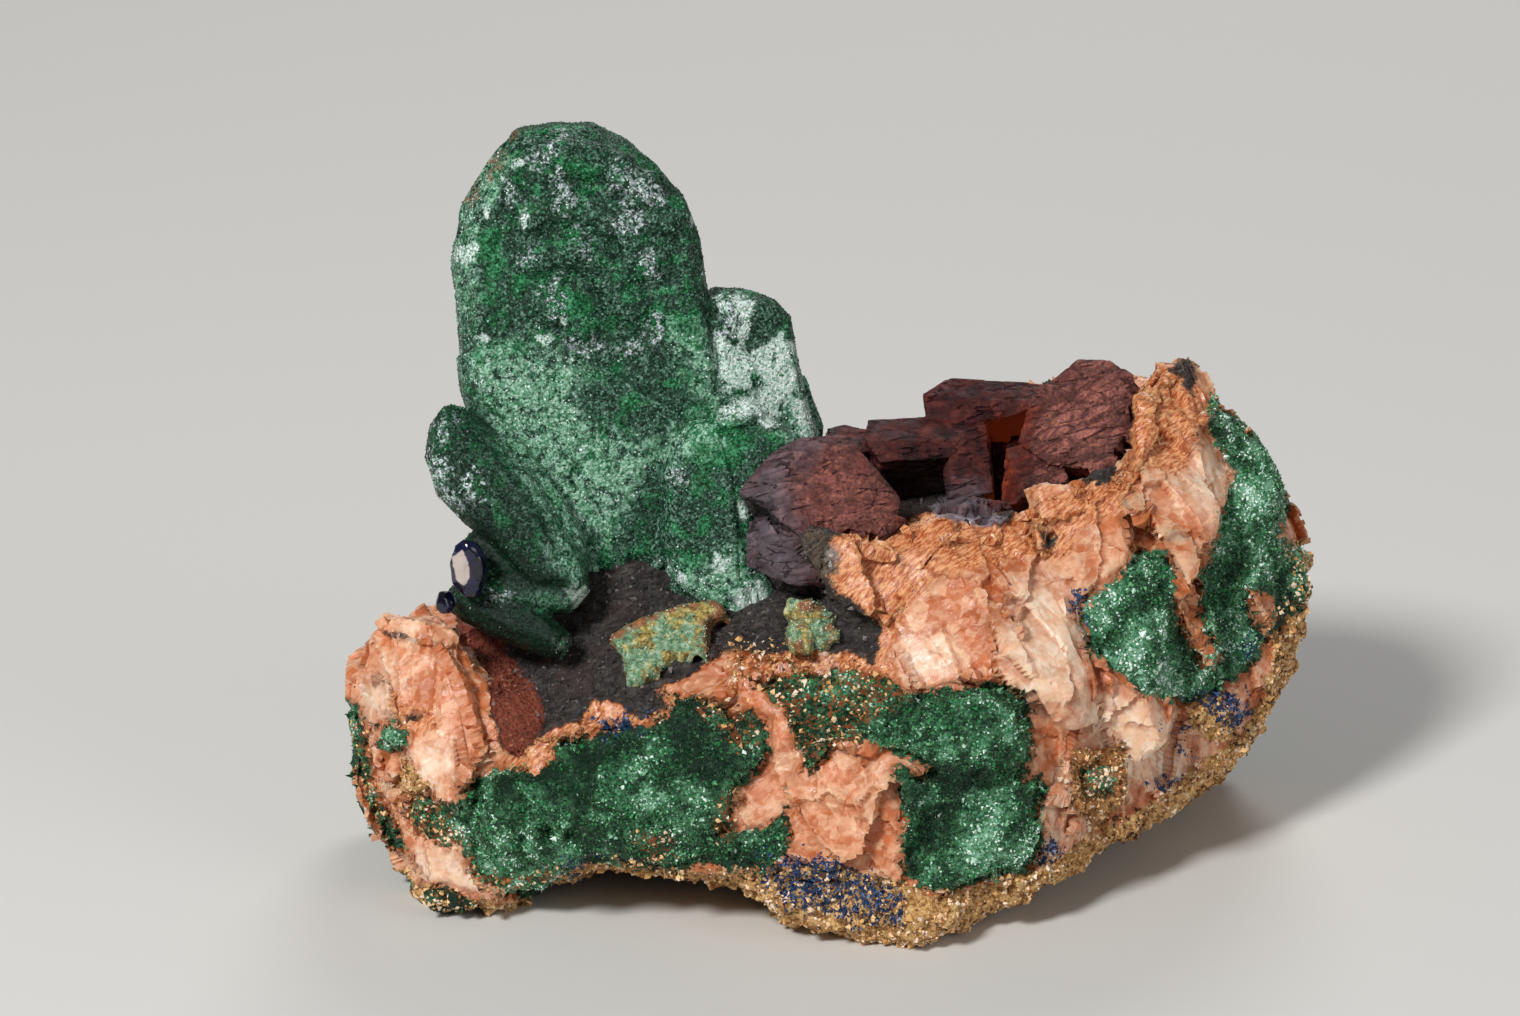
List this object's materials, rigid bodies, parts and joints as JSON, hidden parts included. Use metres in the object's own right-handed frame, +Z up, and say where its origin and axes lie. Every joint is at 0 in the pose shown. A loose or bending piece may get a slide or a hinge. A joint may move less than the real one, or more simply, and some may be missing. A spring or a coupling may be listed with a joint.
{
  "type": "malachite pseudomorph after azurite",
  "caption": "Mineral specimen: tongue-shaped malachite blades and iron-stained rhombs standing on a lump of pink calcite crusted with green malachite.",
  "frame": {"origin": "middle of the bounding box, on the plane that the specimen rests on", "axes": "+X to the right of the display side, +Y to its back, +Z up"},
  "size_m": [0.062, 0.0362, 0.0468],
  "materials": {
    "host_rock": "cleaved calcite, salmon to cream, with green and ochre crusts",
    "malachite": "drusy dark green crust with satin and silvery glints",
    "azurite": "glossy navy-black crystal faces",
    "iron_stained_rhomb": "matt maroon-brown faces with brick-red dust and fine cracks"
  },
  "bodies": {
    "root": {"calcite_matrix": "host_rock", "malachite_main_blades": "malachite", "malachite_fan_blades": "malachite", "azurite_tip": "azurite", "azurite_bud": "azurite", "rhombs_front": "iron_stained_rhomb", "rhombs_back": "iron_stained_rhomb", "rhombs_side": "iron_stained_rhomb", "malachite_flake": "malachite", "malachite_nodules": "malachite"}
  },
  "joints": []
}
